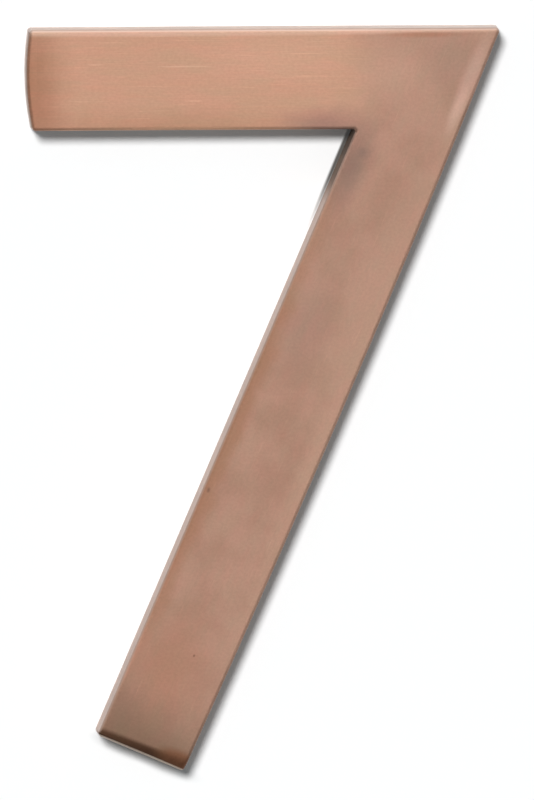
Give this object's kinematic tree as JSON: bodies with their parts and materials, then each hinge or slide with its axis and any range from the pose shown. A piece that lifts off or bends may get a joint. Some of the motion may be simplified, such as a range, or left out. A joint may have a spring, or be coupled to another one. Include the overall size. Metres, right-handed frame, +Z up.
{
  "type": "door number",
  "caption": "Numeral seven cast as one solid piece with a brushed antique copper face, a flat back and tapped stud holes, fixed to a door or wall as its number.",
  "frame": {"origin": "on the flat back, in the middle of the numeral's overall width and height", "axes": "+Z up along the numeral's height, +X to the reader's right, +Y out of the back towards the door; the face looks along -Y"},
  "size_m": [0.0647, 0.008, 0.1014],
  "materials": {
    "aged_copper": "cast brass, brushed along the strokes and toned to an antique copper brown"
  },
  "bodies": {
    "root": {"number_seven": "aged_copper"}
  },
  "joints": []
}
